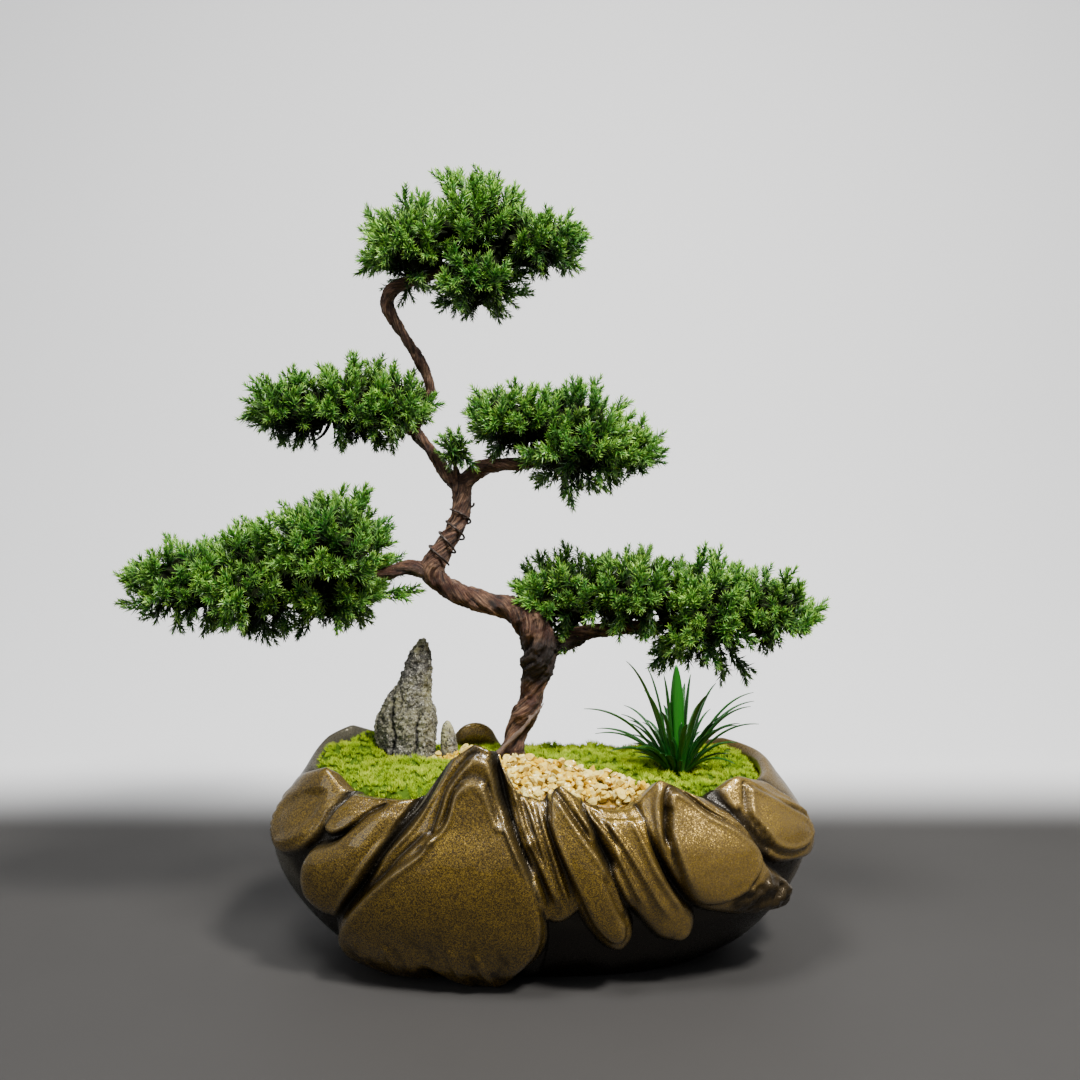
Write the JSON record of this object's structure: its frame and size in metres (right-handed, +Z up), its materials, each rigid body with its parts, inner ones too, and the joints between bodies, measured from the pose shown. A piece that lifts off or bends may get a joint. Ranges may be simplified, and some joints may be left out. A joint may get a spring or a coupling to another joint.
{
  "type": "shimpaku juniper bonsai",
  "caption": "Trained juniper bonsai with a bent trunk and pads of needle foliage, standing in an oval glazed pot with a mountain relief, among moss, gravel, stones and grass.",
  "frame": {"origin": "middle of the pot's flat underside, on the surface that the pot stands on", "axes": "+Z up, +X to the viewer's right, -Y to the front, where the pot has its mountain relief"},
  "size_m": [0.5028, 0.2157, 0.5468],
  "materials": {
    "glaze": "glossy bronze-gold glaze with fine gold flecks, darker in the grooves",
    "screen": "matt black plastic mesh",
    "soil": "crumbly dark potting soil",
    "bark": "fibrous reddish-brown bark, twisted along the trunk",
    "wire": "dark brown annealed training wire",
    "needles": "fresh green needles, paler at the shoot tips",
    "stone": "rough speckled grey and cream rock",
    "grass": "smooth dark green blades",
    "moss": "fine tufted yellow-green moss",
    "gravel": "amber, cream and clear quartz chips"
  },
  "bodies": {
    "root": {"pot": "glaze", "drain_screen_left": "screen", "drain_screen_right": "screen", "soil": "soil", "trunk": "bark", "training_wire": "wire", "foliage_apex": "needles", "foliage_upper_left": "needles", "foliage_upper_right": "needles", "foliage_lower_left": "needles", "foliage_lower_right": "needles", "foliage_fork_tuft": "needles", "standing_stone": "stone", "small_stone": "stone", "grass_clump": "grass", "moss_left": "moss", "moss_back": "moss", "moss_right": "moss", "moss_far_right": "moss", "gravel": "gravel"}
  },
  "joints": []
}
